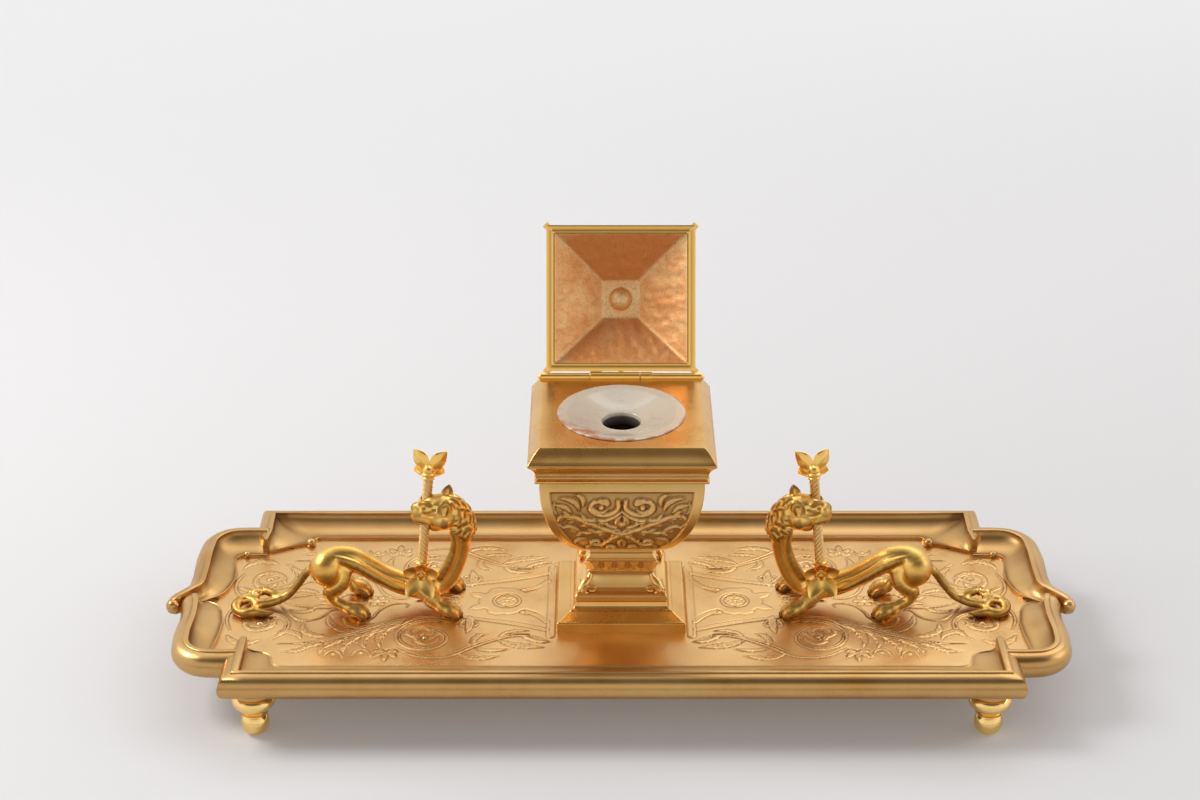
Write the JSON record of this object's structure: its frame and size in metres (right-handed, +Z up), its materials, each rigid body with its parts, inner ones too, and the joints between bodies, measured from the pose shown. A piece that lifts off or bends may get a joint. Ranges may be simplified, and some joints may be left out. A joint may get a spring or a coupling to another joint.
{
  "type": "desk inkstand",
  "caption": "Gilt bronze desk inkstand: footed tray with brace-shaped ends, square hinged-lid inkwell on a pedestal, and crouching beasts holding rope-twist rods.",
  "frame": {"origin": "on the table, below the middle of the tray", "axes": "+X along the tray to the right, -Y towards the writer, +Z up"},
  "size_m": [0.3492, 0.1336, 0.1568],
  "materials": {
    "gilt_bronze": "satin gilding over cast bronze",
    "polished_gilt": "burnished gilding",
    "glazed_ceramic": "grey-cream glaze with ink stains",
    "steel": "plain turned steel"
  },
  "bodies": {
    "stand": {"tray": "gilt_bronze", "foot_front_left": "polished_gilt", "foot_front_right": "polished_gilt", "foot_back_left": "polished_gilt", "foot_back_right": "polished_gilt", "pedestal_base": "gilt_bronze", "pedestal_neck": "gilt_bronze", "bead_collar": "gilt_bronze", "well_bowl": "gilt_bronze", "well_cornice": "polished_gilt", "hinge_bar": "polished_gilt", "hinge_pin": "steel", "centre_bolt": "steel", "centre_washer": "steel", "centre_nut": "steel", "beast_left": "polished_gilt", "beast_right": "polished_gilt", "rod_left": "polished_gilt", "rod_right": "polished_gilt", "top_flower_left": "polished_gilt", "top_flower_right": "polished_gilt", "lower_flower_left": "polished_gilt", "lower_flower_right": "polished_gilt", "beast_screws_left": "steel", "beast_screws_right": "steel"},
    "lid": {"lid": "polished_gilt", "lid_finial": "polished_gilt", "finial_nut": "polished_gilt", "lid_corner_studs": "polished_gilt"},
    "ink_cup": {"ink_cup": "glazed_ceramic"}
  },
  "joints": [
    {"name": "lid_hinge", "type": "hinge", "parent": "stand", "child": "lid", "pos_m": [0, 0.03, 0.1039], "axis": [1, 0, 0], "range_deg": [0, 115]},
    {"name": "cup_lift", "type": "slide", "parent": "stand", "child": "ink_cup", "axis": [0, 0, 1], "range_m": [0, 0.08]}
  ]
}
